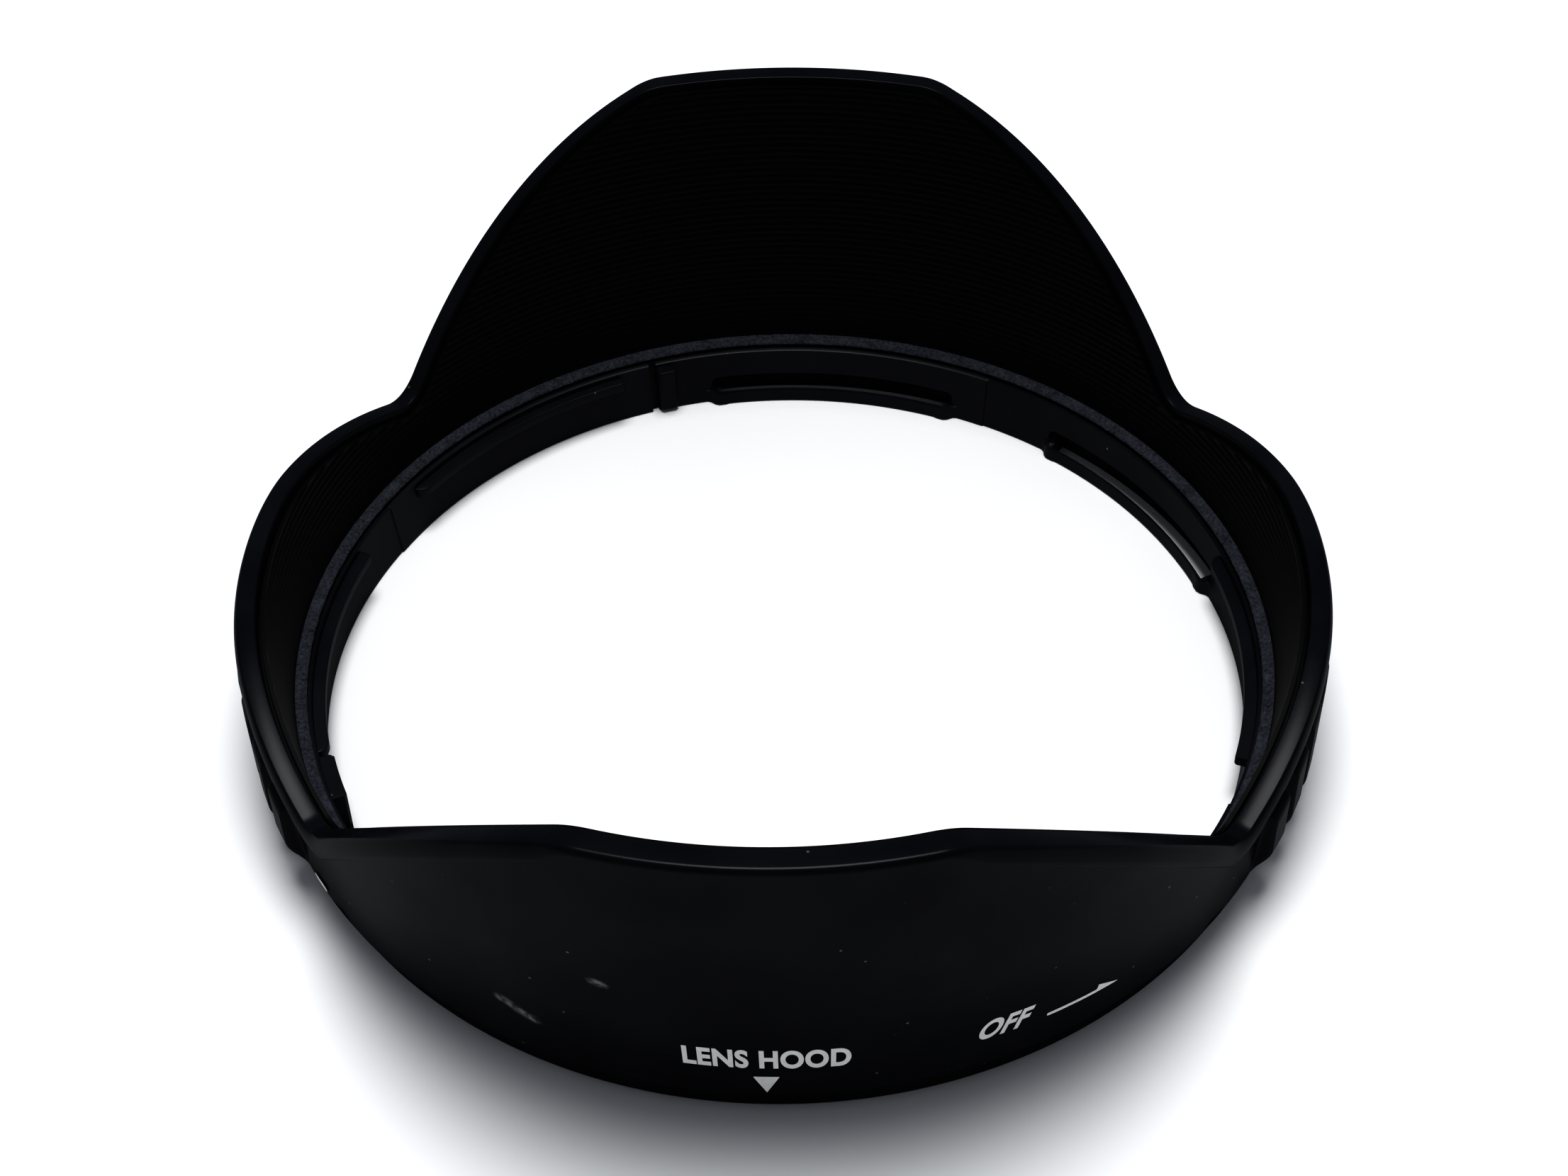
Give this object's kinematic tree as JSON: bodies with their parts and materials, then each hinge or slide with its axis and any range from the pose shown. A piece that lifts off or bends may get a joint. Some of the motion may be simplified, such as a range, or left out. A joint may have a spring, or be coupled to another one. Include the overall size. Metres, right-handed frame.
{
  "type": "lens hood",
  "caption": "Petal-shaped lens hood: a tapered shell with two tall and two low petals, ribbed grips at the sides, a ribbed lining and a bayonet ring with lugs, stops and click strips.",
  "frame": {"origin": "centre of the ring's resting face, on the optical axis", "axes": "+Z along the optical axis towards the subject, +Y towards the petal opposite the index mark"},
  "size_m": [0.0952, 0.0992, 0.0346],
  "materials": {
    "satin_black_moulding": "fine-grained moulded black plastic",
    "matte_black_lining": "finely ribbed, light-absorbing black",
    "flocked_black": "coarse dark flock",
    "white_print": "pad-printed white ink"
  },
  "bodies": {
    "root": {"petal_shell": "satin_black_moulding", "ribbed_liner": "matte_black_lining", "light_trap_ring": "flocked_black", "bayonet_ring": "satin_black_moulding", "bayonet_lug_side_a": "satin_black_moulding", "bayonet_lug_side_b": "satin_black_moulding", "bayonet_lug_diagonal_a": "satin_black_moulding", "bayonet_lug_diagonal_b": "satin_black_moulding", "rotation_stop_a": "satin_black_moulding", "rotation_stop_b": "satin_black_moulding", "rotation_stop_c": "satin_black_moulding", "index_triangle": "white_print", "direction_arrow": "white_print", "alignment_dash": "white_print"}
  },
  "joints": []
}
